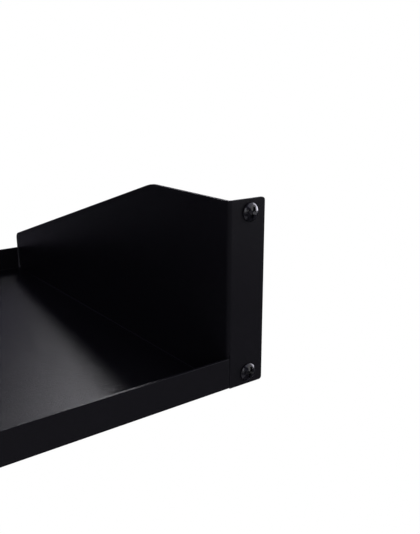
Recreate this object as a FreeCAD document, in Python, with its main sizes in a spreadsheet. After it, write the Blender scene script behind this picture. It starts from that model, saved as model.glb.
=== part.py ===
"""Two-unit rack shelf: one folded steel sheet, and the four pan-head screws that fix its ears.

Millimetres, +Z up. The origin is the middle of the ears' fixing pattern, on the ears' rear faces.
+X runs across the rack and +Y towards the rear of the shelf.
"""
import FreeCAD, Part
import math
import os
from enum import IntEnum
import Sketcher

# Driving dimensions, each with the words that describe it.
SIZES = {
    "rack_width": (482.6, "outer edge of one ear to the outer edge of the other"),
    "ear_width": (19.05, "outer edge of an ear to the outside of the side wall"),
    "hole_margin": (8.75, "outer edge of an ear to the middle of its fixing holes"),
    "space_height": (88.9, "rack space that the shelf takes, two units"),
    "hole_inset": (6.35, "end of the rack space to the nearest fixing hole"),
    "ear_gap": (0.4, "end of the rack space to the end of the ear"),
    "ear_corner": (1.5, "corner radius of the ear"),
    "body_depth": (254.0, "rear face of the ears to the rear face of the shelf"),
    "sheet": (1.5, "thickness of the steel"),
    "bend_radius": (0.6, "inside radius of every bend"),
    "front_lip": (15.5, "underside to the top of the front lip"),
    "rear_lip": (17.3, "underside to the top of the rear lip"),
    "wall_level": (61.1, "rear face of the ears to the end of the level top edge"),
    "wall_rear": (27.9, "underside to the rear end of the sloping top edge"),
    "wall_shoulder": (25.0, "radius between the level and the sloping edge"),
    "wall_corner": (5.0, "radius of the wall's rear corner"),
    "seam_gap": (0.4, "end of a lip to the metal beside it"),
    "seam_nick": (2.2, "length of the seam's run-out above the front lip, into the ear's bend"),
    "ear_relief": (0.1, "top of the front lip to the foot of the ear's bend"),
    "corner_relief": (0.3, "radius of the relief hole at each corner of the floor"),
    "relief_gap": (0.1, "width of the slit that parts two bends at a corner"),
    "screw_size": (5.0, "outside diameter of the screw's thread"),
    "neck_width": (4.48, "diameter of the plain neck between the screw's head and its thread"),
    "neck_length": (1.5, "under the screw's head to the start of its thread"),
    "screw_length": (12.0, "under the screw's head to its tip"),
    "screw_lead": (0.7, "chamfer at the screw's tip"),
    "head_width": (8.6, "diameter of the screw's head"),
    "head_height": (2.6, "seat to the crown of the screw's head"),
    "head_rim": (0.6, "height of the upright rim of the head"),
    "head_round": (0.4, "radius between the rim and the crown"),
    "recess_width": (7.8, "tip to tip across the cross recess, at the height of the crown"),
    "recess_foot": (2.6, "tip to tip across the floor of the cross recess"),
    "recess_wing": (1.3, "width of one wing of the cross recess"),
    "recess_depth": (1.9, "crown to the floor of the cross recess"),
    "slot_clearance": (1.0, "width of the ear's slot beyond the screw"),
    "slot_travel": (1.5, "length of the ear's slot beyond its width"),
}

# Turn of each screw's cross recess in degrees, by side and height: right and left, upper and lower.
SCREW_TURNS = {(1, 1): 17, (1, -1): 19, (-1, 1): 28, (-1, -1): 55}

# Lengths that several pieces share, written in terms of the driving dimensions.
OUTER_BEND = "(sizes.bend_radius + sizes.sheet)"
UNDERSIDE = "(-sizes.space_height / 2)"
EAR_TOP = "(sizes.space_height / 2 - sizes.ear_gap)"
EAR_EDGE = "(sizes.rack_width / 2)"
HOLE_COLUMN = f"({EAR_EDGE} - sizes.hole_margin)"
WALL_OUTSIDE = f"({EAR_EDGE} - sizes.ear_width)"
WALL_INSIDE = f"({WALL_OUTSIDE} - sizes.sheet)"
EAR_ROOT = f"({WALL_INSIDE} + {OUTER_BEND})"
FLOOR_EDGE = f"({WALL_OUTSIDE} - {OUTER_BEND})"
FLOOR_FRONT = "sizes.bend_radius"
FLOOR_REAR = f"(sizes.body_depth - {OUTER_BEND})"
LIP_END = f"({WALL_OUTSIDE} - sizes.seam_gap)"
LIP_TOP = f"({UNDERSIDE} + sizes.front_lip)"
BEND_TOP = f"({UNDERSIDE} + {OUTER_BEND})"
BEND_FOOT = f"({LIP_TOP} + sizes.ear_relief)"
HOLE_HEIGHT = "(sizes.space_height / 2 - sizes.hole_inset)"
SLOT_WIDTH = "(sizes.screw_size + sizes.slot_clearance)"

UPRIGHT = FreeCAD.Vector(0, 0, 1)
SAME_PLACE = 1e-4


class Spot(IntEnum):
    """Point of a line or an arc that a constraint takes hold of."""
    START = 1
    END = 2
    MIDDLE = 3


class Datum(IntEnum):
    """Fixed lines of every sketch. The level line starts at the sketch's origin."""
    LEVEL = -1
    UPRIGHT = -2


START, END, MIDDLE = Spot

doc = FreeCAD.newDocument("rack_shelf")
sheet = doc.addObject("Spreadsheet::Sheet", "sizes")
for row, (alias, (size, meaning)) in enumerate(SIZES.items(), start=1):
    sheet.set(f"A{row}", str(size))
    sheet.setAlias(f"A{row}", alias)
    sheet.set(f"B{row}", meaning)
doc.recompute()


def value(expression):
    """The number that an expression over the sheet stands for."""
    return float(sheet.evalExpression(expression))


def point(x, y):
    return FreeCAD.Vector(x, y, 0)


def plane(body, role):
    return next(item for item in body.Origin.OriginFeatures if item.Role == role)


def new_sketch(body, name, role, lift="0"):
    """A sketch on one of the body's own planes, lifted off it along the plane's normal."""
    sketch = body.newObject("Sketcher::SketchObject", name)
    sketch.AttachmentSupport = [(plane(body, role), "")]
    sketch.MapMode = "FlatFace"
    sketch.setExpression("AttachmentOffset.Base.z", lift)
    return sketch


def dimension(sketch, kind, places, expression):
    """A driving dimension, tied to the sheet."""
    constraint = sketch.addConstraint(Sketcher.Constraint(kind, *places, value(expression)))
    sketch.setExpression(f"Constraints[{constraint}]", expression)


def place(sketch, geometry, position, x=None, y=None):
    """Dimension a point from the sketch's origin, across, up or both."""
    if x is not None:
        dimension(sketch, "DistanceX", (Datum.LEVEL, START, geometry, position), x)
    if y is not None:
        dimension(sketch, "DistanceY", (Datum.LEVEL, START, geometry, position), y)


def straight(sketch, first, second, direction):
    """One straight side of a section, kept level or upright."""
    line = sketch.addGeometry(Part.LineSegment(first, second))
    sketch.addConstraint(Sketcher.Constraint(direction, line))
    return line


def polygon(sketch, corners):
    """Closed outline of straight lines through the corners, level or upright where they are."""
    points = [point(*corner) for corner in corners]
    lines = []
    for first, second in zip(points, points[1:] + points[:1]):
        line = sketch.addGeometry(Part.LineSegment(first, second))
        if math.isclose(first.y, second.y):
            sketch.addConstraint(Sketcher.Constraint("Horizontal", line))
        elif math.isclose(first.x, second.x):
            sketch.addConstraint(Sketcher.Constraint("Vertical", line))
        lines.append(line)
    for line, following in zip(lines, lines[1:] + lines[:1]):
        sketch.addConstraint(Sketcher.Constraint("Coincident", line, END, following, START))
    return lines


def rectangle(sketch, left, right, bottom, top):
    x0, x1, y0, y1 = (value(side) for side in (left, right, bottom, top))
    lines = polygon(sketch, [(x0, y0), (x1, y0), (x1, y1), (x0, y1)])
    place(sketch, lines[0], START, left, bottom)
    place(sketch, lines[2], START, right, top)


def fold(sketch, corner_x, corner_y, end_x, end_y):
    """Section of the sheet folded square round a bend.

    The outer faces would meet at the corner. One leg runs across to end_x, the other up or down to end_y.
    """
    x, y = value(corner_x), value(corner_y)
    far_x, far_y = value(end_x), value(end_y)
    across = math.copysign(1, far_x - x)
    up = math.copysign(1, far_y - y)
    thick = value("sizes.sheet")
    inner = value("sizes.bend_radius")
    outer = inner + thick
    centre = point(x + across * outer, y + up * outer)

    outer_leg = straight(sketch, point(far_x, y), point(centre.x, y), "Horizontal")
    outer_wall = straight(sketch, point(x, centre.y), point(x, far_y), "Vertical")
    wall_end = straight(sketch, point(x, far_y), point(x + across * thick, far_y), "Horizontal")
    inner_wall = straight(
        sketch, point(x + across * thick, far_y), point(x + across * thick, centre.y), "Vertical")
    inner_leg = straight(
        sketch, point(centre.x, y + up * thick), point(far_x, y + up * thick), "Horizontal")
    leg_end = straight(sketch, point(far_x, y + up * thick), point(far_x, y), "Vertical")

    first_angle = math.atan2(-up, -across) - math.pi / 4
    arcs = []
    for radius in (outer, inner):
        circle = Part.Circle(centre, UPRIGHT, radius)
        arcs.append(sketch.addGeometry(Part.ArcOfCircle(circle, first_angle, first_angle + math.pi / 2)))
    leg_side, wall_side = (END, START) if across * up > 0 else (START, END)
    outer_arc, inner_arc = arcs

    joints = [
        ("Tangent", outer_leg, END, outer_arc, leg_side),
        ("Tangent", outer_wall, START, outer_arc, wall_side),
        ("Tangent", inner_wall, END, inner_arc, wall_side),
        ("Tangent", inner_leg, START, inner_arc, leg_side),
        ("Coincident", outer_wall, END, wall_end, START),
        ("Coincident", wall_end, END, inner_wall, START),
        ("Coincident", inner_leg, END, leg_end, START),
        ("Coincident", leg_end, END, outer_leg, START),
        ("Coincident", outer_arc, MIDDLE, inner_arc, MIDDLE),
    ]
    for joint in joints:
        sketch.addConstraint(Sketcher.Constraint(*joint))
    place(sketch, outer_wall, END, corner_x, end_y)
    place(sketch, outer_leg, START, end_x, corner_y)
    dimension(sketch, "Radius", (inner_arc,), "sizes.bend_radius")
    dimension(sketch, "Radius", (outer_arc,), OUTER_BEND)


def slot(sketch, centre_x, centre_y):
    """Outline of one level fixing slot: two straight sides and two round ends."""
    x, y = value(centre_x), value(centre_y)
    radius = value(SLOT_WIDTH) / 2
    reach = value("sizes.slot_travel") / 2
    upper = straight(sketch, point(x + reach, y + radius), point(x - reach, y + radius), "Horizontal")
    lower = straight(sketch, point(x - reach, y - radius), point(x + reach, y - radius), "Horizontal")
    ends = []
    for side, first_angle in ((-1, math.pi / 2), (1, -math.pi / 2)):
        circle = Part.Circle(point(x + side * reach, y), UPRIGHT, radius)
        ends.append(sketch.addGeometry(Part.ArcOfCircle(circle, first_angle, first_angle + math.pi)))
    left, right = ends
    for first, first_end, second, second_end in (
            (upper, END, left, START), (left, END, lower, START),
            (lower, END, right, START), (right, END, upper, START)):
        sketch.addConstraint(Sketcher.Constraint("Tangent", first, first_end, second, second_end))
    place(sketch, left, MIDDLE, f"{centre_x} - sizes.slot_travel / 2", centre_y)
    place(sketch, right, MIDDLE, f"{centre_x} + sizes.slot_travel / 2")
    dimension(sketch, "Radius", (left,), f"{SLOT_WIDTH} / 2")


def pad(body, sketch, name, length, backwards=False):
    feature = body.newObject("PartDesign::Pad", name)
    feature.Profile = sketch
    feature.Reversed = backwards
    feature.setExpression("Length", length)
    doc.recompute()
    return feature


def cut(body, sketch, name, length=None, backwards=False, both_ways=False):
    """Pocket of a given depth, or right through, that has to take metal away."""
    before = body.Tip.Shape.Volume
    feature = body.newObject("PartDesign::Pocket", name)
    feature.Profile = sketch
    feature.Reversed = backwards
    feature.SideType = "Symmetric" if both_ways else "One side"
    if length is None:
        feature.Type = "ThroughAll"
    else:
        feature.setExpression("Length", length)
    doc.recompute()
    if feature.Shape.Volume >= before:
        raise RuntimeError(f"{name} cuts nothing")
    return feature


def round_edges(body, name, direction, spots, radius):
    """Round the straight edges that run along a direction through the given spots."""
    base = body.Tip
    names = []
    for number, edge in enumerate(base.Shape.Edges, start=1):
        if not isinstance(edge.Curve, Part.Line) or edge.Curve.Direction.cross(direction).Length > SAME_PLACE:
            continue
        if any((edge.CenterOfMass - spot).cross(direction).Length < SAME_PLACE for spot in spots):
            names.append(f"Edge{number}")
    feature = body.newObject("PartDesign::Fillet", name)
    feature.Base = (base, names)
    feature.setExpression("Radius", radius)
    doc.recompute()
    return feature


def make_shelf():
    """The folded sheet: floor, side walls, front and rear lips and ears, modelled as a half and mirrored."""
    body = doc.addObject("PartDesign::Body", "shelf_tray")
    body.Label = "shelf_tray"

    # Floor and side wall are one fold, drawn across the shelf and run from front to rear.
    section = new_sketch(body, "wall_section", "XZ_Plane", f"-{FLOOR_FRONT}")
    fold(section, WALL_OUTSIDE, UNDERSIDE, "0", EAR_TOP)
    pad(body, section, "floor_and_wall", f"sizes.body_depth - {FLOOR_FRONT}", backwards=True)

    # The wall's top edge stays level behind the ear, then slopes down to the rear.
    level, rear = value("sizes.wall_level"), value("sizes.body_depth")
    top, low = value(EAR_TOP), value(f"{UNDERSIDE} + sizes.wall_rear")
    taper = new_sketch(body, "wall_taper_outline", "YZ_Plane")
    slope, back, _ = polygon(taper, [(level, top), (rear, low), (rear, top)])
    place(taper, slope, START, "sizes.wall_level", EAR_TOP)
    place(taper, back, START, "sizes.body_depth", f"{UNDERSIDE} + sizes.wall_rear")
    cut(body, taper, "wall_taper", backwards=True)
    across = FreeCAD.Vector(1, 0, 0)
    shoulder = FreeCAD.Vector(0, level, top)
    round_edges(body, "shoulder_round", across, [shoulder], "sizes.wall_shoulder")
    corner = FreeCAD.Vector(0, rear, low)
    round_edges(body, "rear_corner_round", across, [corner], "sizes.wall_corner")

    # The rear lip stands between the walls, so the floor ends at its bend and the walls run on past it.
    # Above the bend the lip widens, and its end closes the corner.
    trim = new_sketch(body, "floor_end_outline", "XY_Plane", UNDERSIDE)
    rectangle(trim, "0", FLOOR_EDGE, FLOOR_REAR, "sizes.body_depth")
    cut(body, trim, "floor_end", "sizes.sheet", backwards=True)
    lip_top = f"{UNDERSIDE} + sizes.rear_lip"
    section = new_sketch(body, "rear_lip_section", "YZ_Plane")
    fold(section, "sizes.body_depth", UNDERSIDE, f"{FLOOR_REAR} - sizes.relief_gap", lip_top)
    pad(body, section, "rear_lip_bend", f"{FLOOR_EDGE} - sizes.relief_gap")
    outline = new_sketch(body, "rear_lip_outline", "YZ_Plane")
    rectangle(outline, "sizes.body_depth - sizes.sheet", "sizes.body_depth", BEND_TOP, lip_top)
    pad(body, outline, "rear_lip_plate", f"{WALL_INSIDE} - sizes.seam_gap")

    # The front lip runs past the wall's inside, up to the ear. A slit parts its bend from the wall's bend.
    # Above the bends the wall comes forward again, close behind the lip.
    slit_end = f"{FLOOR_FRONT} + sizes.relief_gap"
    section = new_sketch(body, "front_lip_section", "YZ_Plane")
    fold(section, "-sizes.sheet", UNDERSIDE, slit_end, LIP_TOP)
    pad(body, section, "front_lip", LIP_END)
    slit = new_sketch(body, "corner_slit_outline", "XY_Plane", UNDERSIDE)
    rectangle(slit, FLOOR_EDGE, WALL_OUTSIDE, FLOOR_FRONT, slit_end)
    cut(body, slit, "corner_slit", OUTER_BEND, backwards=True)
    tab = new_sketch(body, "wall_tab_outline", "XY_Plane", BEND_TOP)
    rectangle(tab, WALL_INSIDE, WALL_OUTSIDE, "sizes.relief_gap", slit_end)
    pad(body, tab, "wall_tab", f"{BEND_FOOT} - {BEND_TOP}")

    # A small round hole ends each slit, so that the bends don't tear the floor.
    relief = new_sketch(body, "corner_relief_outline", "XY_Plane", UNDERSIDE)
    radius = value("sizes.corner_relief")
    half_gap = "sizes.relief_gap / 2"
    for x, y in ((FLOOR_EDGE, f"{FLOOR_FRONT} + {half_gap}"), (f"{FLOOR_EDGE} - {half_gap}", FLOOR_REAR)):
        hole = relief.addGeometry(Part.Circle(point(value(x), value(y)), UPRIGHT, radius))
        place(relief, hole, MIDDLE, x, y)
        dimension(relief, "Radius", (hole,), "sizes.corner_relief")
    cut(body, relief, "corner_reliefs", OUTER_BEND, backwards=True)

    # The ear is a slotted plate. Above the front lip a bend joins it to the wall, below it stands free.
    section = new_sketch(body, "ear_section", "XY_Plane", BEND_FOOT)
    fold(section, WALL_INSIDE, "-sizes.sheet", f"{EAR_ROOT} + sizes.sheet", f"{FLOOR_FRONT} + sizes.sheet")
    pad(body, section, "ear_bend", f"{EAR_TOP} - {BEND_FOOT}")
    root, edge, foot, free = (value(side) for side in (EAR_ROOT, EAR_EDGE, BEND_FOOT, WALL_OUTSIDE))
    outline = new_sketch(body, "ear_outline", "XZ_Plane")
    lines = polygon(outline, [(free, -top), (edge, -top), (edge, top), (root, top), (root, foot), (free, foot)])
    place(outline, lines[0], START, WALL_OUTSIDE, f"-{EAR_TOP}")
    place(outline, lines[2], START, EAR_EDGE, EAR_TOP)
    place(outline, lines[4], START, EAR_ROOT, BEND_FOOT)
    for height in (HOLE_HEIGHT, f"-{HOLE_HEIGHT}"):
        slot(outline, HOLE_COLUMN, height)
    pad(body, outline, "ear_plate", "sizes.sheet")
    corners = [FreeCAD.Vector(edge, 0, height) for height in (top, -top)]
    round_edges(body, "ear_corner_round", FreeCAD.Vector(0, 1, 0), corners, "sizes.ear_corner")

    # The seam between lip and ear runs out as a blind nick in the face of the bend above.
    nick = new_sketch(body, "seam_nick_outline", "XZ_Plane", "sizes.sheet")
    rectangle(nick, LIP_END, WALL_OUTSIDE, LIP_TOP, f"{LIP_TOP} + sizes.seam_nick")
    cut(body, nick, "seam_nick", f"{OUTER_BEND} / 2")

    whole = body.newObject("PartDesign::Mirrored", "both_sides")
    whole.TransformMode = "Whole shape"
    whole.MirrorPlane = (plane(body, "YZ_Plane"), [""])
    body.Tip = whole
    return body


def make_screw():
    """One pan-head screw along Y, its head's seat at the origin and its shank towards +Y."""
    body = doc.addObject("PartDesign::Body", "rack_screw")
    half_head, half_neck, half_shank = (
        value(f"sizes.{name} / 2") for name in ("head_width", "neck_width", "screw_size"))
    crown, rim = value("-sizes.head_height"), value("-sizes.head_rim")
    neck, length, lead = (value(f"sizes.{name}") for name in ("neck_length", "screw_length", "screw_lead"))

    profile = new_sketch(body, "screw_profile", "XY_Plane")
    outline = [(half_head, rim), (half_head, 0), (half_neck, 0), (half_neck, neck), (half_shank, neck),
               (half_shank, length - lead), (half_shank - lead, length), (0, length), (0, crown)]
    lines = [
        profile.addGeometry(Part.LineSegment(point(*first), point(*second)))
        for first, second in zip(outline, outline[1:])
    ]
    # The crown is a dome, and the small round beside the rim runs smoothly into both.
    corner = value("sizes.head_round")
    reach, rise = half_head - corner, rim - crown
    radius = (reach ** 2 + rise ** 2 - corner ** 2) / (2 * (rise - corner))
    tilt = math.asin(reach / (radius - corner))
    down = -math.pi / 2
    dome = Part.Circle(point(0, crown + radius), UPRIGHT, radius)
    crown_arc = profile.addGeometry(Part.ArcOfCircle(dome, down, down + tilt))
    bend = Part.Circle(point(reach, rim), UPRIGHT, corner)
    round_arc = profile.addGeometry(Part.ArcOfCircle(bend, down + tilt, 0))
    chain = lines + [crown_arc]
    for line, following in zip(chain, chain[1:]):
        profile.addConstraint(Sketcher.Constraint("Coincident", line, END, following, START))
    profile.addConstraint(Sketcher.Constraint("Tangent", crown_arc, END, round_arc, START))
    profile.addConstraint(Sketcher.Constraint("Tangent", round_arc, END, lines[0], START))
    dimension(profile, "Radius", (round_arc,), "sizes.head_round")
    rim_line, seat, neck_line, step, thread, lead_line, tip, axis = lines
    for line in (rim_line, neck_line, thread, axis):
        profile.addConstraint(Sketcher.Constraint("Vertical", line))
    for line in (seat, step, tip):
        profile.addConstraint(Sketcher.Constraint("Horizontal", line))
    profile.addConstraint(Sketcher.Constraint("PointOnObject", axis, START, Datum.UPRIGHT))
    profile.addConstraint(Sketcher.Constraint("PointOnObject", crown_arc, MIDDLE, Datum.UPRIGHT))
    place(profile, rim_line, START, "sizes.head_width / 2", "-sizes.head_rim")
    place(profile, neck_line, START, "sizes.neck_width / 2", "0")
    place(profile, thread, START, "sizes.screw_size / 2", "sizes.neck_length")
    place(profile, lead_line, START, y="sizes.screw_length - sizes.screw_lead")
    place(profile, tip, START, "sizes.screw_size / 2 - sizes.screw_lead", "sizes.screw_length")
    place(profile, axis, END, y="-sizes.head_height")
    turned = body.newObject("PartDesign::Revolution", "turned_blank")
    turned.Profile = profile
    turned.ReferenceAxis = (profile, ["V_Axis"])
    doc.recompute()

    # Two crossed slots with sloping ends make the recess.
    mouth, foot = value("sizes.recess_width / 2"), value("sizes.recess_foot / 2")
    deep = value("sizes.recess_depth - sizes.head_height")
    wing = new_sketch(body, "recess_wing_outline", "XY_Plane")
    left, bottom, right, top = polygon(wing, [(-mouth, crown), (-foot, deep), (foot, deep), (mouth, crown)])
    place(wing, left, START, "-sizes.recess_width / 2", "-sizes.head_height")
    place(wing, bottom, START, "-sizes.recess_foot / 2", "sizes.recess_depth - sizes.head_height")
    place(wing, right, START, "sizes.recess_foot / 2")
    place(wing, top, START, "sizes.recess_width / 2")
    slot_cut = cut(body, wing, "recess_wing", "sizes.recess_wing", both_ways=True)
    cross = body.newObject("PartDesign::PolarPattern", "cross_recess")
    cross.Originals = [slot_cut]
    cross.Axis = (profile, ["V_Axis"])
    cross.Angle = 90
    cross.Occurrences = 2
    body.Tip = cross
    return body


def make_screws():
    """The four fixing screws, each with its head seated on the front face of an ear."""
    screw = make_screw()
    copies = []
    for (side, level), turn in SCREW_TURNS.items():
        copy = doc.addObject("App::Link", "fixing")
        copy.LinkedObject = screw
        copy.Placement.Rotation = FreeCAD.Rotation(FreeCAD.Vector(0, 1, 0), turn)
        copy.setExpression("Placement.Base.x", f"{side} * {HOLE_COLUMN}")
        copy.setExpression("Placement.Base.y", "-sizes.sheet")
        copy.setExpression("Placement.Base.z", f"{level} * {HOLE_HEIGHT}")
        copies.append(copy)
    group = doc.addObject("Part::Compound", "rack_screws")
    group.Label = "rack_screws"
    group.Links = copies
    return group


sub_parts = [make_shelf(), make_screws()]
doc.recompute()
for item in doc.Objects:
    if "Invalid" in item.State or "Error" in item.State:
        raise RuntimeError(f"{item.Name} failed: {item.State}")
for sub_part in sub_parts:
    if sub_part.Shape.isNull() or not sub_part.Shape.isValid():
        raise RuntimeError(f"{sub_part.Label} has no valid shape")

os.makedirs("parts", exist_ok=True)
for sub_part in sub_parts:
    sub_part.Shape.exportStep(f"parts/{sub_part.Label}.step")
    print(sub_part.Label, "solids", len(sub_part.Shape.Solids), "volume", round(sub_part.Shape.Volume, 1))
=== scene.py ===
# %% [markdown]
# A black rack shelf: one steel sheet, cut flat, folded and powder coated, and four screws that hold its ears.
# The solids come from the CAD model, in metres, with +X across the shelf, +Y to the rear and +Z up. This script
# gives them their finish, their light and a view. The frame is loaded first, because each later step measures it.

# %% Load the frame
import math
import bmesh
import bpy
from mathutils import Matrix, Vector


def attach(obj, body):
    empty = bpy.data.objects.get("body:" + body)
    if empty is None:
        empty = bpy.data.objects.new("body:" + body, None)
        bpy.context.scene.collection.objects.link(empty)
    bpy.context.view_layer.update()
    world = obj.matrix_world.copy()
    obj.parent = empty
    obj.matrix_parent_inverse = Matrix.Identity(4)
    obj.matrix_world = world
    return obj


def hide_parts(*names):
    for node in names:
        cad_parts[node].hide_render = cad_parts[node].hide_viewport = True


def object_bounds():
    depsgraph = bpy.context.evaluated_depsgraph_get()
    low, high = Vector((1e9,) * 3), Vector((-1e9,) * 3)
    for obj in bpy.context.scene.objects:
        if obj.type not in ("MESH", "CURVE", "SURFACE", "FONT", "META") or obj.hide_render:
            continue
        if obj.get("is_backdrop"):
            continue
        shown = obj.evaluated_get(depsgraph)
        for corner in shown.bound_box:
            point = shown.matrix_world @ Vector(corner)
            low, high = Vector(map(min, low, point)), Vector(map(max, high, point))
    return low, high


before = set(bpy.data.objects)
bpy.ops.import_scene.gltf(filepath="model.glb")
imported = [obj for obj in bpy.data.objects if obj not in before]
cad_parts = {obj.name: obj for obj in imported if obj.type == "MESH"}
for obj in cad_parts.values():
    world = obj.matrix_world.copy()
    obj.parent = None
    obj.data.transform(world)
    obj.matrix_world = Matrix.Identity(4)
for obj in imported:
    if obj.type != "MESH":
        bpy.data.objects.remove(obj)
cad_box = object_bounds()
MM = 0.001
print("frame:", sorted(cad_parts), "box", [list(corner) for corner in cad_box])

# %% [markdown]
# The camera stands a little above the shelf and left of its right-hand ear, turned 37 degrees to the right and
# tipped 16 degrees down. A lens of 44 mm on a 36 mm frame gives the same convergence of the side wall and the lip
# as a real camera so close to the shelf. The left part of the shelf lies outside the frame.

# %% Camera
camera = bpy.data.objects.new("camera", bpy.data.cameras.new("camera"))
bpy.context.scene.collection.objects.link(camera)
bpy.context.scene.camera = camera
camera.location = (0.04827, -0.21691, 0.09330)
camera.rotation_euler = (math.radians(74.156), 0.0, math.radians(-36.999))
camera.data.sensor_width = 36.0
camera.data.lens = 44.157
camera.data.clip_start = 0.01
print("camera:", [round(value, 3) for value in camera.location], "lens", camera.data.lens)

# %% [markdown]
# A laser leaves the edges of the sheet square, but the powder that melts over them doesn't: each cut edge of the
# real shelf is a small round that catches a thin line of light. The CAD solid has no such rounds. A Bevel modifier
# could add them, but it would round the loose triangles of the node. So the node's mesh is copied, its doubles are
# merged and its flat faces joined. Then the cut edges are those where two faces meet squarely. In the crowded
# corners the seam and the slits leave edges so short that their rounds would fold over each other, so these are
# left out.

# %% Cut edges of the sheet
SAME_SPOT, FLAT, SQUARE = 0.001 * MM, math.radians(0.5), math.radians(60.0)
SHORT_EDGE, SEAM_TOP = 1.6 * MM, -25.0 * MM
SIDE_REACH, FRONT_REACH, REAR_REACH = 23.0 * MM, 1.2 * MM, 3.0 * MM
shape = bmesh.new()
shape.from_mesh(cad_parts["shelf_tray"].data)
bmesh.ops.remove_doubles(shape, verts=shape.verts, dist=SAME_SPOT)
bmesh.ops.dissolve_limit(
    shape, angle_limit=FLAT, verts=shape.verts, edges=shape.edges, use_dissolve_boundaries=False)


def crowded(edge):
    """Short edge in a corner of the floor or at the seam beside the ear."""
    middle = (edge.verts[0].co + edge.verts[1].co) / 2
    at_side = abs(middle.x) > cad_box[1][0] - SIDE_REACH
    at_end = middle.y < FRONT_REACH or middle.y > cad_box[1][1] - REAR_REACH
    return edge.calc_length() < SHORT_EDGE and at_side and at_end and middle.z < SEAM_TOP


cut_edges = [edge for edge in shape.edges if edge.is_manifold and edge.calc_face_angle() > SQUARE]
cut_edges = [edge for edge in cut_edges if not crowded(edge)]
print("sheet:", len(shape.faces), "faces,", len(cut_edges), "cut edges")

# %% [markdown]
# One bevel runs along all the cut edges, and the slivers that it leaves are dissolved. Powder draws back from an
# edge while it melts, so the rounds carry an attribute, thin_coat, that the finish reads later. Weighted normals
# keep the large faces flat up to their rounds. Without them, the shading of a whole wall would lean towards its
# edges.

# %% Folded sheet
COAT_ROUND, SLIVER, SHARP = 0.2 * MM, 0.01 * MM, math.radians(32.0)


def new_piece(name, shape, node):
    """Turn a bmesh into an object that stands in for a CAD node."""
    mesh = bpy.data.meshes.new(name)
    shape.to_mesh(mesh)
    shape.free()
    mesh.polygons.foreach_set("use_smooth", [True] * len(mesh.polygons))
    mesh.set_sharp_from_angle(angle=SHARP)
    piece = bpy.data.objects.new(name, mesh)
    bpy.context.scene.collection.objects.link(piece)
    piece.modifiers.new("flat_faces_stay_flat", "WEIGHTED_NORMAL").keep_sharp = True
    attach(piece, "root")
    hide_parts(node)
    return piece


rounded = bmesh.ops.bevel(
    shape, geom=cut_edges, offset=COAT_ROUND, offset_type="OFFSET", segments=2, profile=0.5, affect="EDGES",
    material=-1, clamp_overlap=False)
thin_coat = shape.loops.layers.float.new("thin_coat")
for face in rounded["faces"]:
    for corner in face.loops:
        corner[thin_coat] = 1.0
bmesh.ops.dissolve_degenerate(shape, dist=SLIVER, edges=shape.edges)
open_edges = sum(not edge.is_manifold for edge in shape.edges)
print("folded sheet:", len(shape.faces), "faces,", open_edges, "open edges")
tray = new_piece("folded_sheet", shape, "shelf_tray")

# %% [markdown]
# Each screw has a pan head: an upright rim, a small round and a domed crown with a cross recess. The crown is part
# of a ball, and the round touches both the ball and the rim, so two sizes settle the radius of the ball. A screw
# maker presses the cross in cold: the mouth is left a little rounded, and the tips of the cross drag the crown down
# with them, which leaves a small slope at the end of each wing.

# %% Sizes of a screw
HEAD_RADIUS, HEAD_HEIGHT, HEAD_RIM, HEAD_ROUND = 4.3, 2.6, 0.6, 0.4
NECK_RADIUS, NECK_LENGTH, SCREW_LENGTH = 2.24, 1.5, 12.0
RECESS_TIP, RECESS_FOOT, RECESS_DEPTH, WING = 3.9, 1.3, 1.9, 0.65
MOUTH_TIP, PRESSED, SEAT_BREAK, FLOOR_BREAK = 3.08, 0.22, 0.12, 0.1
CROWN_REACH, CROWN_RISE = HEAD_RADIUS - HEAD_ROUND, HEAD_HEIGHT - HEAD_RIM
CROWN_RADIUS = (CROWN_REACH ** 2 + CROWN_RISE ** 2 - HEAD_ROUND ** 2) / (2 * (CROWN_RISE - HEAD_ROUND))
CROWN_TILT = math.asin(CROWN_REACH / (CROWN_RADIUS - HEAD_ROUND))
print("crown radius", round(CROWN_RADIUS, 2), "mm, tilt at its edge", round(math.degrees(CROWN_TILT), 1), "degrees")

# %% [markdown]
# The cross is drawn as an outline of corners: one eighth of it is worked out, mirrored to a quarter, and turned three
# times. The corners along a wing lie on even bearings, so that circles on the same bearings have no crowded stretch.
# The outline is used twice, for the mouth of the recess and, a little larger, for the edge of what the press drew
# down.

# %% Outline of the cross
TIP_STEPS, WING_STEPS = 3, 8


def cross_outline(tip, half_width):
    """Corners of a cross, round from the middle of one tip: across the tip, then along the wing."""
    arm = [(tip, half_width * step / TIP_STEPS) for step in range(TIP_STEPS + 1)]
    first = math.atan2(half_width, tip)
    for step in range(1, WING_STEPS + 1):
        bearing = first + (math.pi / 4 - first) * step / WING_STEPS
        arm.append((half_width / math.tan(bearing), half_width))
    eighth = arm[:-1]
    mirrored = [(y, x) for x, y in reversed(arm[1:])]
    quarter = eighth + mirrored
    outline = []
    for turn in range(4):
        cosine, sine = (1, 0, -1, 0)[turn], (0, 1, 0, -1)[turn]
        outline += [(x * cosine - y * sine, x * sine + y * cosine) for x, y in quarter]
    return outline


mouth = cross_outline(MOUTH_TIP, WING)
pressed_edge = cross_outline(MOUTH_TIP + PRESSED, WING + PRESSED)
bearings = [math.atan2(y, x) for x, y in pressed_edge]
print("recess:", len(mouth), "corners, tips", round(MOUTH_TIP + PRESSED, 2), "mm from the axis")

# %% [markdown]
# A lathe part would be one spin, but the recess isn't round. So the head is a skin through rings, which all have
# as many corners as the outline of the cross. On the rim they are circles, on the crown they change into the cross
# by and by, and then they go down its walls, which slope inwards at the tips, to its floor.


# %% Rings of a screw
def circle_ring(radius, depth):
    """Ring of the screw at one depth behind the seat, on the bearings of the cross's corners."""
    return [Vector((radius * math.cos(b), depth, radius * math.sin(b))) * MM for b in bearings]


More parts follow.
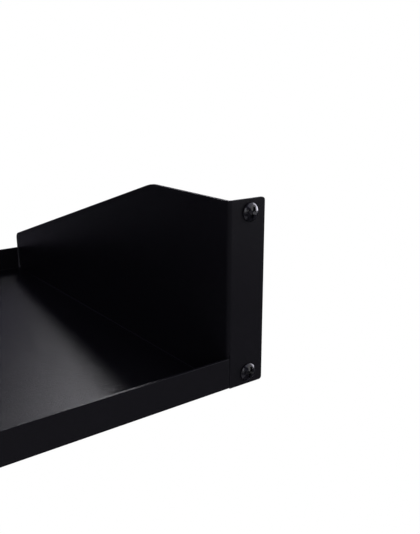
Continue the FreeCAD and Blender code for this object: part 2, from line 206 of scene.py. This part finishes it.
def crown_drop(radius):
    """How far the crown has fallen at a radius."""
    return CROWN_RADIUS - math.sqrt(CROWN_RADIUS ** 2 - radius ** 2)


def crown_ring(share):
    """Ring on the crown, a share of the way from the shoulder to the pressed edge of the recess."""
    ring = []
    edge = CROWN_RADIUS * math.sin(CROWN_TILT)
    for x, y in pressed_edge:
        radius = math.hypot(x, y)
        stretch = (edge + (radius - edge) * share) / radius
        height = crown_drop(radius * stretch) - HEAD_HEIGHT
        ring.append(Vector((x * stretch, height, y * stretch)) * MM)
    return ring


def recess_ring(depth, inset=0.0, under_mouth=0.0):
    """Ring on the walls of the recess, at a depth under the crown, but always some way under its mouth."""
    slope = (RECESS_TIP - RECESS_FOOT) / RECESS_DEPTH
    ring = []
    for corner, (mouth_x, mouth_y) in enumerate(mouth):
        level = max(depth, crown_drop(math.hypot(mouth_x, mouth_y)) + under_mouth)
        x, y = cross_outline(RECESS_TIP - slope * level, WING - inset)[corner]
        ring.append(Vector((x, level - HEAD_HEIGHT, y)) * MM)
    return ring


print("rings:", len(bearings), "corners each, crown", round(crown_drop(CROWN_REACH), 2), "mm lower near its edge")

# %% [markdown]
# The skin itself needs few operators. A circle gets a face, which closes the end of the neck. Then its edges are
# extruded once for each ring, and the new corners are moved onto that ring. The last ring, the floor of the recess,
# gets a face too, and the skin is closed. That face is poked: a fan from its middle has no slivers, while one large
# face would have some between the corners that lie in line along a wing.

# %% Head and neck
SPOT_DIGITS = 9


def skin(shape, rings):
    """Closed skin through rings of corners, with a face over the first and the last ring."""
    corners = list(bmesh.ops.create_circle(shape, segments=len(rings[0]), radius=1.0)["verts"])
    edges = list({edge for corner in corners for edge in corner.link_edges})
    bmesh.ops.contextual_create(shape, geom=edges)
    for number, ring in enumerate(rings):
        if number:
            grown = bmesh.ops.extrude_edge_only(shape, edges=edges)["geom"]
            fresh = {part.co.to_tuple(SPOT_DIGITS): part for part in grown if isinstance(part, bmesh.types.BMVert)}
            corners = [fresh[corner.co.to_tuple(SPOT_DIGITS)] for corner in corners]
            joined = set(corners)
            edges = [part for part in grown if isinstance(part, bmesh.types.BMEdge) and joined.issuperset(part.verts)]
        for corner, spot in zip(corners, ring):
            corner.co = spot
    last = bmesh.ops.contextual_create(shape, geom=edges)["faces"]
    bmesh.ops.poke(shape, faces=last)


ROUND_STEPS, CROWN_SHARES = 8, (0.15, 0.3, 0.45, 0.6, 0.75, 0.88, 1.0)
PRESS_ROLL, WALL_MIDDLE = PRESSED * 0.3, 1.2
rings = [circle_ring(NECK_RADIUS, NECK_LENGTH), circle_ring(NECK_RADIUS, 0.0)]
rings += [circle_ring(HEAD_RADIUS - SEAT_BREAK, 0.0), circle_ring(HEAD_RADIUS, -SEAT_BREAK)]
for step in range(ROUND_STEPS + 1):
    angle = (math.pi / 2 - CROWN_TILT) * step / ROUND_STEPS
    rings.append(circle_ring(CROWN_REACH + HEAD_ROUND * math.cos(angle), -HEAD_RIM - HEAD_ROUND * math.sin(angle)))
rings += [crown_ring(share) for share in CROWN_SHARES]
rings += [recess_ring(0.0, -PRESS_ROLL, PRESS_ROLL), recess_ring(0.0, 0.0, PRESSED), recess_ring(WALL_MIDDLE)]
rings += [recess_ring(RECESS_DEPTH - FLOOR_BREAK), recess_ring(RECESS_DEPTH, FLOOR_BREAK)]
screw = bmesh.new()
skin(screw, rings)
bmesh.ops.recalc_face_normals(screw, faces=screw.faces)
open_edges = sum(not edge.is_manifold for edge in screw.edges)
print("head:", len(rings), "rings,", len(screw.faces), "faces,", open_edges, "open edges")

# %% [markdown]
# The thread is the standard one for a 5 mm screw, 0.8 mm from turn to turn. One tooth's outline is spun round the
# axis and moved on at each step, which gives a true helix. The turns are merged, cut square behind the neck and at
# the tip, and closed. The tip's corners are drawn in to a lead, so that the screw finds its hole.

# %% Thread
PITCH, MAJOR, MINOR, LEAD = 0.8, 2.5, 2.04, 0.7
ROOT_END, CREST_START, CREST_END = 0.2, 0.45, 0.55
TURN_STEPS, SPARE = 28, 0.05
NEXT_TURN, NEAR_PLANE = 0.005 * MM, 0.002 * MM
turns = math.ceil((SCREW_LENGTH - NECK_LENGTH) / PITCH) + 2
thread = bmesh.new()
start = NECK_LENGTH - PITCH - SPARE
tooth = [(MINOR, 0.0), (MINOR, ROOT_END), (MAJOR, CREST_START), (MAJOR, CREST_END), (MINOR, PITCH)]
corners = [thread.verts.new(Vector((radius, start + rise, 0.0)) * MM) for radius, rise in tooth]
edges = [thread.edges.new(pair) for pair in zip(corners, corners[1:])]
bmesh.ops.spin(
    thread, geom=corners + edges, cent=(0.0, 0.0, 0.0), axis=(0.0, 1.0, 0.0), dvec=(0.0, PITCH * MM / TURN_STEPS, 0.0),
    angle=math.tau * turns, steps=TURN_STEPS * turns)
bmesh.ops.remove_doubles(thread, verts=thread.verts, dist=NEXT_TURN)
for depth, away in ((NECK_LENGTH, -1.0), (SCREW_LENGTH, 1.0)):
    everything = thread.verts[:] + thread.edges[:] + thread.faces[:]
    bmesh.ops.bisect_plane(
        thread, geom=everything, dist=SAME_SPOT, plane_co=(0.0, depth * MM, 0.0), plane_no=(0.0, away, 0.0),
        clear_outer=True)
    rim = [edge for edge in thread.edges if edge.is_boundary]
    rim = [edge for edge in rim if all(abs(end.co.y - depth * MM) < NEAR_PLANE for end in edge.verts)]
    bmesh.ops.edgeloop_fill(thread, edges=rim)
for corner in thread.verts:
    radius = math.hypot(corner.co.x, corner.co.z)
    limit = (MAJOR - max(0.0, corner.co.y / MM - (SCREW_LENGTH - LEAD))) * MM
    if radius > limit:
        corner.co.x, corner.co.z = corner.co.x * limit / radius, corner.co.z * limit / radius
bmesh.ops.dissolve_degenerate(thread, dist=NEAR_PLANE, edges=thread.edges)
bmesh.ops.recalc_face_normals(thread, faces=thread.faces)
open_edges = sum(not edge.is_manifold for edge in thread.edges)
print("thread:", turns, "turns,", len(thread.faces), "faces,", open_edges, "open edges")

# %% [markdown]
# One finished screw is copied to the four fixing holes. Nobody lines up the recesses of screws, so each one is
# turned by an angle of its own.

# %% Four screws
thread_mesh = bpy.data.meshes.new("thread")
thread.to_mesh(thread_mesh)
thread.free()
screw.from_mesh(thread_mesh)
bpy.data.meshes.remove(thread_mesh)
TURNS = {(1, 1): 17, (1, -1): 19, (-1, 1): 28, (-1, -1): 55}
COLUMN, LEVEL, SEAT = 232.55 * MM, 38.1 * MM, -1.5 * MM
pattern = screw.verts[:] + screw.edges[:] + screw.faces[:]
for (side, level), turn in TURNS.items():
    copied = bmesh.ops.duplicate(screw, geom=pattern)["geom"]
    corners = [part for part in copied if isinstance(part, bmesh.types.BMVert)]
    turned = Matrix.Rotation(math.radians(turn), 3, "Y")
    bmesh.ops.rotate(screw, verts=corners, cent=(0.0, 0.0, 0.0), matrix=turned)
    bmesh.ops.translate(screw, verts=corners, vec=(side * COLUMN, SEAT, level * LEVEL))
bmesh.ops.delete(screw, geom=[part for part in pattern if isinstance(part, bmesh.types.BMVert)], context="VERTS")
print("screws:", len(screw.faces), "faces")
screws = new_piece("pan_head_screws", screw, "rack_screws")

# %% [markdown]
# A procedural finish is mostly arithmetic: a grain plus a mask times a number. In the node editor each sign is a
# Math node. Here a small class wraps one socket and turns Python's signs into those nodes, so that a finish reads
# as a formula. Every other node comes from one method, which sets the node up before it fills its sockets.


# %% Shader sockets as numbers
class Wire:
    """One output of a shader node tree, which Python's operators can reckon with."""

    def __init__(self, tree, socket=None):
        self.tree = tree
        self.socket = socket

    def node(self, kind, settings, sockets, output=0):
        """Add a node, set it up, then give its sockets their values or links."""
        added = self.tree.nodes.new(kind)
        for name, setting in settings.items():
            setattr(added, name, setting)
        for name, value in sockets.items():
            if isinstance(value, Wire):
                self.tree.links.new(value.socket, added.inputs[name])
            else:
                added.inputs[name].default_value = value
        return Wire(self.tree, added.outputs[output])

    def reckon(self, operation, first, second):
        return self.node("ShaderNodeMath", {"operation": operation}, {0: first, 1: second})

    def __add__(self, other):
        return self.reckon("ADD", self, other)

    def __sub__(self, other):
        return self.reckon("SUBTRACT", self, other)

    def __rsub__(self, other):
        return self.reckon("SUBTRACT", other, self)

    def __mul__(self, other):
        return self.reckon("MULTIPLY", self, other)

    __radd__ = __add__
    __rmul__ = __mul__

    def noise(self, place, scale, detail=2.0):
        return self.node("ShaderNodeTexNoise", {}, {"Vector": place, "Scale": scale, "Detail": detail}, "Fac")

    def step(self, low, high):
        """Smooth rise from 0 to 1 between two values."""
        sockets = {"Value": self, "From Min": low, "From Max": high}
        return self.node("ShaderNodeMapRange", {"interpolation_type": "SMOOTHSTEP"}, sockets)

    def blend(self, first, second):
        """Mix of two colours by this number."""
        sockets = {0: self, 6: first, 7: second}
        return self.node("ShaderNodeMix", {"data_type": "RGBA"}, sockets, 2)


print("wire: a socket that knows", [name for name in vars(Wire) if not name.startswith("__")])

# %% [markdown]
# A new material already holds one principled shader, and only the sockets of that shader are filled. What varies
# over the surface is linked. A number that is the same all over is set on the socket itself, because nothing behind
# a socket has to be worked out then.


# %% Materials to fill
def new_material(name):
    """An empty material, its wire and its principled shader."""
    material = bpy.data.materials.new(name)
    material.use_nodes = True
    tree = material.node_tree
    shader = next(node for node in tree.nodes if node.type == "BSDF_PRINCIPLED")
    return material, Wire(tree), shader


def feed(wire, shader, **sockets):
    """Link wires to the shader's sockets, or set plain numbers on them."""
    for name, value in sockets.items():
        socket = shader.inputs[name.replace("_", " ")]
        if isinstance(value, Wire):
            wire.tree.links.new(value.socket, socket)
        else:
            socket.default_value = value


print("materials so far:", [material.name for material in bpy.data.materials])

# %% [markdown]
# Black powder coat is dull and almost without colour of its own. What shows is its skin: beads of powder that
# melted into each other and left a fine orange peel. Two noises make that skin, one for the beads and one for the
# slow swell under them. They could feed the roughness, but on the real coat the slopes of the peel spread the
# light, and the peel itself is smooth. So they feed a bump, the roughness stays low, and a lamp draws a long soft
# sheen. A slow cloud varies colour and gloss, and where the coat is thin, along the edges, it is greyer.

# %% Powder coat
DEEP_BLACK, SOFT_BLACK = (0.0080, 0.0078, 0.0088, 1.0), (0.0103, 0.0101, 0.0113, 1.0)
THIN_BLACK, PEEL_DEPTH = (0.0150, 0.0147, 0.0168, 1.0), 0.125 * MM
powder_coat, wire, shader = new_material("black_powder_coat")
place = wire.node("ShaderNodeTexCoord", {}, {}, "Object")
beads = wire.noise(place, 2600.0)
swell = wire.noise(place, 700.0)
clouds = wire.noise(place, 14.0, 3.0)
thin = wire.node("ShaderNodeAttribute", {"attribute_name": "thin_coat"}, {}, "Fac")
skin_height = beads * 0.7 + swell * 0.3
peel = wire.node("ShaderNodeBump", {}, {"Height": skin_height, "Strength": 1.0, "Distance": PEEL_DEPTH}, "Normal")
colour = thin.blend(clouds.blend(DEEP_BLACK, SOFT_BLACK), THIN_BLACK)
roughness = 0.18 + clouds * 0.05 - thin * 0.03
feed(wire, shader, Base_Color=colour, Roughness=roughness, Normal=peel, Specular_IOR_Level=0.04)
tray.data.materials.append(powder_coat)
print("powder coat:", len(powder_coat.node_tree.nodes), "nodes")

# %% [markdown]
# The screws are plated black and stay glossy, so they mirror the room. A perfect mirror would look like glass,
# though: the plating bath leaves a haze, which varies the gloss, and the heading die leaves shallow dents, which
# a weak bump gives. The black layer throws back less light than clear glass would, so its specular level is low.

# %% Black plating
JET_BLACK, GREY_BLACK, DENT_DEPTH = (0.004, 0.004, 0.005, 1.0), (0.008, 0.008, 0.010, 1.0), 0.008 * MM
black_plating, wire, shader = new_material("black_plating")
place = wire.node("ShaderNodeTexCoord", {}, {}, "Object")
haze = wire.noise(place, 900.0)
dents = wire.noise(place, 1700.0, 1.0)
dented = wire.node("ShaderNodeBump", {}, {"Height": dents, "Strength": 1.0, "Distance": DENT_DEPTH}, "Normal")
colour = haze.blend(JET_BLACK, GREY_BLACK)
feed(wire, shader, Base_Color=colour, Roughness=0.12 + haze * 0.06, Normal=dented, Specular_IOR_Level=0.3)
screws.data.materials.append(black_plating)
print("plating:", len(black_plating.node_tree.nodes), "nodes")

# %% [markdown]
# In use the shelf hangs by its ears, so the pale floor lies well below it. One large square is enough, and its rim
# is so far away that the white surroundings swallow it.

# %% Floor
FLOOR_DROP, FLOOR_HALF = 0.25, 12.0
floor_level = cad_box[0][2] - FLOOR_DROP
shape = bmesh.new()
bmesh.ops.create_grid(shape, x_segments=1, y_segments=1, size=FLOOR_HALF)
bmesh.ops.translate(shape, verts=shape.verts, vec=(0.0, 0.0, floor_level))
floor_mesh = bpy.data.meshes.new("floor")
shape.to_mesh(floor_mesh)
shape.free()
floor = bpy.data.objects.new("floor", floor_mesh)
bpy.context.scene.collection.objects.link(floor)
floor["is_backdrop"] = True
print("floor:", round(floor_level, 3), "m high,", 2 * FLOOR_HALF, "m wide")

# %% [markdown]
# The surroundings are white, but more light would wash out the black coat. So the whiteness is in the floor's
# material: rays from the camera, and mirrored rays that go far, meet a white glow mixed into the pale paint. In
# front of the shelf some of the paint stays, and with it a soft shadow. Seen from below, the floor is clear, so that
# it never hides the underside.


# %% Paint of the floor
def light_path(wire):
    """Two masks: rays from the camera, and rays that gloss or glass has turned."""
    path = wire.tree.nodes.new("ShaderNodeLightPath")
    masks = [Wire(wire.tree, path.outputs[f"Is {kind} Ray"]) for kind in ("Camera", "Glossy", "Transmission")]
    return masks[0], masks[1] + masks[2]


WHITE, TO_THE_REAR, MOST_PAINT = (1.0, 1.0, 1.0, 1.0), (0.6, 0.8, 0.0), 0.3
pale, wire, shader = new_material("pale_floor")
feed(wire, shader, Base_Color=(0.75, 0.75, 0.76, 1.0), Roughness=0.9, Specular_IOR_Level=0.1)
place = wire.node("ShaderNodeTexCoord", {}, {}, "Object")
distance = wire.node("ShaderNodeVectorMath", {"operation": "LENGTH"}, {0: place}, "Value")
behind = wire.node("ShaderNodeVectorMath", {"operation": "DOT_PRODUCT"}, {0: place, 1: TO_THE_REAR}, "Value")
seen, mirrored = light_path(wire)
paint_left = (1.0 - behind.step(0.12, 0.36)) * (1.0 - distance.step(0.6, 2.5)) * MOST_PAINT
glow = seen * (1.0 - paint_left) + mirrored * distance.step(2.0, 5.0)
white = wire.node("ShaderNodeEmission", {}, {"Color": WHITE})
painted = wire.node("ShaderNodeMixShader", {}, {0: glow, 1: Wire(wire.tree, shader.outputs[0]), 2: white})
underneath = wire.node("ShaderNodeNewGeometry", {}, {}, "Backfacing")
clear = wire.node("ShaderNodeBsdfTransparent", {}, {})
surface = wire.node("ShaderNodeMixShader", {}, {0: underneath, 1: painted, 2: clear})
out = next(node for node in wire.tree.nodes if node.type == "OUTPUT_MATERIAL")
wire.tree.links.new(surface.socket, out.inputs["Surface"])
floor_mesh.materials.append(pale)
print("paint:", len(wire.tree.nodes), "nodes")

# %% [markdown]
# The world is the room's own faint light. It leans to blue, as light from a window does, and that tints the shade
# inside the shelf. The camera sees it as white. Gloss sees white only in a band at the horizon, where the floor's
# glow ends, because a white sky above it would fill every part of the shelf that faces up with grey.

# %% World
ROOM_TINT, ROOM_LIGHT = (0.66, 0.61, 1.0, 1.0), 0.165
world = bpy.data.worlds.new("studio")
bpy.context.scene.world = world
world.use_nodes = True
wire = Wire(world.node_tree)
room = next(node for node in world.node_tree.nodes if node.type == "BACKGROUND")
room.inputs["Color"].default_value = ROOM_TINT
room.inputs["Strength"].default_value = ROOM_LIGHT
white = wire.node("ShaderNodeBackground", {}, {"Color": WHITE, "Strength": 1.0})
direction = wire.node("ShaderNodeTexCoord", {}, {}, "Generated")
height = wire.node("ShaderNodeSeparateXYZ", {}, {0: direction}, "Z")
seen, mirrored = light_path(wire)
glow = seen + mirrored * (1.0 - height.step(0.03, 0.12))
surface = wire.node("ShaderNodeMixShader", {}, {0: glow, 1: Wire(wire.tree, room.outputs[0]), 2: white})
out = next(node for node in world.node_tree.nodes if node.type == "OUTPUT_WORLD")
wire.tree.links.new(surface.socket, out.inputs["Surface"])
print("world:", len(wire.tree.nodes), "nodes")

# %% [markdown]
# Five soft boxes light the shelf. The key stands far behind it on the right, 37 degrees up: it throws the wall's
# shadow over the pan, and the camera faces its sheen. A sun lamp would do that too, but its shadow would be sharp.
# The side and front boxes give the screws their bright rims and the ear its light. A narrow one on the left picks
# out the bend of the ear, and a wide, weak one above lies on the crowns of the screws as a soft grey. A lamp is told
# how bright its face is, because that is what gloss shows. Its power follows from its size.


# %% Lamps
def softbox(name, target, direction, distance, size, radiance, colour):
    """Oblong area lamp that faces its target."""
    lamp = bpy.data.lights.new(name, "AREA")
    lamp.shape = "RECTANGLE"
    lamp.size, lamp.size_y = size
    lamp.energy = math.pi * size[0] * size[1] * radiance
    lamp.color = colour
    lit = bpy.data.objects.new(name, lamp)
    bpy.context.scene.collection.objects.link(lit)
    aim = Vector(direction).normalized()
    lit.location = Vector(target) + aim * distance
    lit.rotation_euler = aim.to_track_quat("Z", "Y").to_euler()
    print(name, "lamp:", round(lamp.energy, 1), "W")


PAN, EAR = (0.15, 0.1, -0.04), (0.23, 0.0, 0.0)
softbox("key", PAN, (0.655, 1.15, 1.0), 6.0, (1.1, 1.1), 47.0, (0.96, 0.95, 1.0))
softbox("side", EAR, (1.0, 0.10, 0.30), 1.5, (1.3, 1.2), 6.5, (0.90, 0.88, 1.0))
softbox("front", EAR, (0.62, -0.72, 0.30), 1.5, (1.3, 1.2), 1.8, (1.0, 0.98, 0.96))
softbox("left", EAR, (-0.54, -0.74, 0.36), 0.9, (0.28, 0.5), 2.9, (0.93, 0.93, 1.0))
softbox("top", EAR, (0.4, -0.55, 0.80), 1.2, (1.2, 0.5), 1.7, (0.86, 0.86, 1.0))

# %% [markdown]
# A black shelf is a dark mirror: what it faces matters more than what lights it. A photographer sets up flags,
# dark cards just outside the picture, to keep a pale floor out of it. Here a card can be hidden from everything
# but gloss, so it takes no light away and throws no shadow. A grey one stands where the wall looks at the room
# behind, a black one where the ear looks, and two lie on the floor where the lower sides of the screws look.


# %% Flags
def flag(name, middle, facing, size, shade):
    """Card of one shade that only reflections see."""
    shape = bmesh.new()
    bmesh.ops.create_grid(shape, x_segments=1, y_segments=1, size=0.5)
    bmesh.ops.scale(shape, vec=(*size, 1.0), verts=shape.verts)
    turned = Vector(facing).to_track_quat("Z", "Y").to_matrix()
    bmesh.ops.rotate(shape, verts=shape.verts, cent=(0.0, 0.0, 0.0), matrix=turned)
    bmesh.ops.translate(shape, verts=shape.verts, vec=middle)
    mesh = bpy.data.meshes.new(name)
    shape.to_mesh(mesh)
    shape.free()
    card = bpy.data.objects.new(name, mesh)
    bpy.context.scene.collection.objects.link(card)
    card.visible_camera = card.visible_diffuse = card.visible_shadow = False
    card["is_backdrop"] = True
    material, wire, shader = new_material(name)
    feed(wire, shader, Base_Color=(shade, shade, shade * 1.1, 1.0), Roughness=1.0)
    mesh.materials.append(material)
    print(name, "card:", size, "m")


flag("wall_flag", (-0.35, 0.75, -0.12), (0.5, -0.85, 0.0), (1.4, 0.42), 0.12)
flag("ear_flag", (0.50, -0.36, -0.22), (-0.64, 0.74, 0.0), (0.9, 0.30), 0.01)
flag("right_floor_flag", (0.91, -0.1, -0.29), (0.0, 0.0, 1.0), (1.5, 2.2), 0.01)
flag("front_floor_flag", (0.2, -0.98, -0.289), (0.0, 0.0, 1.0), (1.1, 1.2), 0.01)

# %% [markdown]
# Standard is the plainest view transform: a colour comes out as it was written. Both boxes are measured and
# printed, the CAD model's and the dressed shelf's. The dressed shelf may not be larger.

# %% Finish
bpy.context.scene.view_settings.view_transform = "Standard"
boxes = {"cad": cad_box, "visual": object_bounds()}
boxes = {name: [[float(value) for value in corner] for corner in box] for name, box in boxes.items()}
print("boxes:", boxes)
